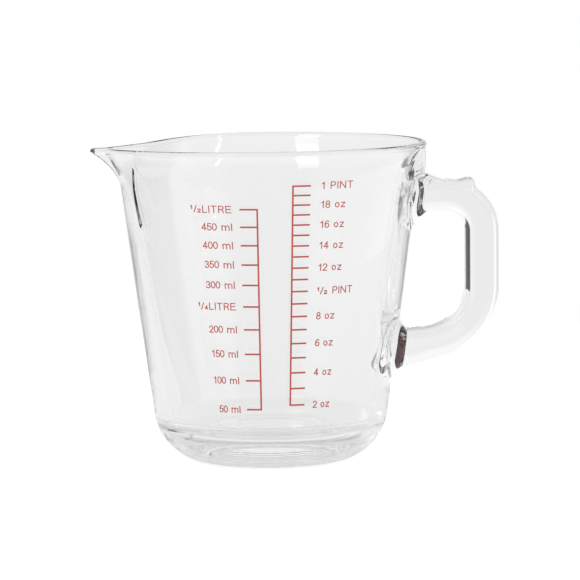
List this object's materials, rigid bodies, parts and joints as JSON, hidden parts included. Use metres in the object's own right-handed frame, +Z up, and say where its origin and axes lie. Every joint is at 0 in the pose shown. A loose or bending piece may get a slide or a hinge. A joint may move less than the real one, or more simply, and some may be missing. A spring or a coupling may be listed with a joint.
{
  "type": "measuring jug",
  "caption": "Clear pressed-glass measuring jug with a pinched pouring spout, a D-shaped glass handle and printed litre and pint scales",
  "frame": {"origin": "centre of the flat foot under the base, on the axis of the round body, at the height of the surface the jug stands on", "axes": "+Z up along the body's axis, +X towards the handle and -X towards the spout, the printed scales face -Y"},
  "size_m": [0.1485, 0.1152, 0.1163],
  "materials": {
    "clear_glass": "fire-polished pressed soda-lime glass, smooth and clear with slight waviness",
    "red_enamel": "fired screen-printed enamel, slightly glossy"
  },
  "bodies": {
    "root": {"glass_body": "clear_glass", "handle": "clear_glass", "ml_scale_lines": "red_enamel", "oz_scale_lines": "red_enamel", "ml_50_label": "red_enamel", "ml_100_label": "red_enamel", "ml_150_label": "red_enamel", "ml_200_label": "red_enamel", "ml_250_label": "red_enamel", "ml_300_label": "red_enamel", "ml_350_label": "red_enamel", "ml_400_label": "red_enamel", "ml_450_label": "red_enamel", "ml_500_label": "red_enamel", "oz_2_label": "red_enamel", "oz_4_label": "red_enamel", "oz_6_label": "red_enamel", "oz_8_label": "red_enamel", "oz_10_label": "red_enamel", "oz_12_label": "red_enamel", "oz_14_label": "red_enamel", "oz_16_label": "red_enamel", "oz_18_label": "red_enamel", "oz_20_label": "red_enamel"}
  },
  "joints": []
}
